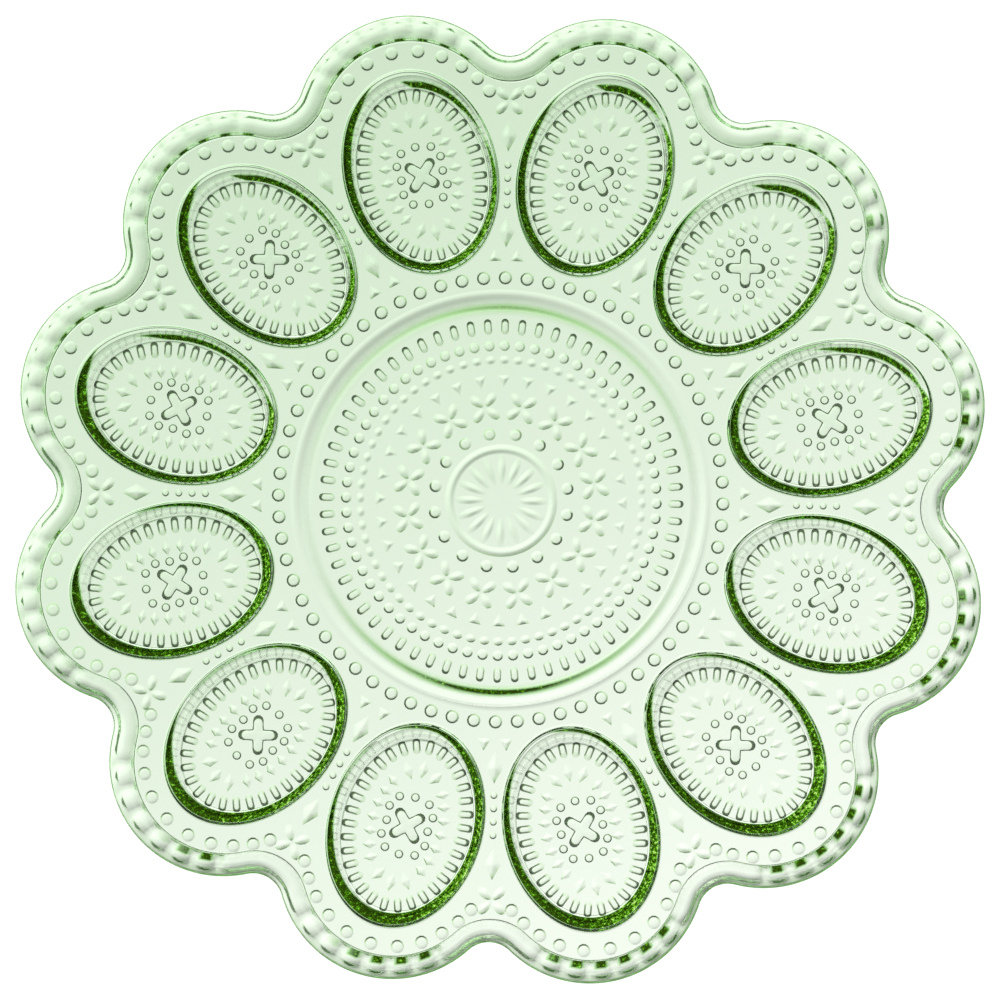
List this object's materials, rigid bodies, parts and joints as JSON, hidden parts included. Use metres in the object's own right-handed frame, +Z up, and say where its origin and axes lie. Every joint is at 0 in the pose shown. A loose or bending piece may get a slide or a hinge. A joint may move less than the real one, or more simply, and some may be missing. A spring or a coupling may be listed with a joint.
{
  "type": "deviled egg platter",
  "caption": "Round pressed-glass platter with a ring of oval egg cups round a shallow centre well, a scalloped flared rim and beaded relief on its underside.",
  "frame": {"origin": "middle of the platter, on the plane that its foot rims rest on", "axes": "+Z up along the platter's axis; +Y from the middle to a valley of the rim, halfway between two cups; +X to the right seen from above with +Y away from the viewer"},
  "size_m": [0.3096, 0.3096, 0.026],
  "materials": {
    "green_glass": "fire-polished, clear",
    "green_relief": "pressed relief of the same clear glass"
  },
  "bodies": {
    "root": {"center_well": "green_glass", "rim_valleys": "green_glass", "egg_cup_01": "green_glass", "egg_cup_02": "green_glass", "egg_cup_03": "green_glass", "egg_cup_04": "green_glass", "egg_cup_05": "green_glass", "egg_cup_06": "green_glass", "egg_cup_07": "green_glass", "egg_cup_08": "green_glass", "egg_cup_09": "green_glass", "egg_cup_10": "green_glass", "egg_cup_11": "green_glass", "egg_cup_12": "green_glass", "deck_web_01": "green_glass", "deck_web_02": "green_glass", "deck_web_03": "green_glass", "deck_web_04": "green_glass", "deck_web_05": "green_glass", "deck_web_06": "green_glass", "deck_web_07": "green_glass", "deck_web_08": "green_glass", "deck_web_09": "green_glass", "deck_web_10": "green_glass", "deck_web_11": "green_glass", "deck_web_12": "green_glass", "scallop_01": "green_glass", "scallop_02": "green_glass", "scallop_03": "green_glass", "scallop_04": "green_glass", "scallop_05": "green_glass", "scallop_06": "green_glass", "scallop_07": "green_glass", "scallop_08": "green_glass", "scallop_09": "green_glass", "scallop_10": "green_glass", "scallop_11": "green_glass", "scallop_12": "green_glass", "hub_ring": "green_relief", "hub_rays": "green_relief", "hub_beads": "green_relief", "well_florets": "green_relief", "well_triangles": "green_relief", "well_lens_beads": "green_relief", "well_beads": "green_relief", "well_dashes": "green_relief", "deck_beads": "green_relief", "rim_beads": "green_relief", "deck_florets": "green_relief", "deck_lozenges": "green_relief", "deck_dots": "green_relief", "deck_triangles": "green_relief", "cup_dashes": "green_relief", "cup_lozenges": "green_relief", "cup_beads": "green_relief", "cup_crosses": "green_relief"}
  },
  "joints": []
}
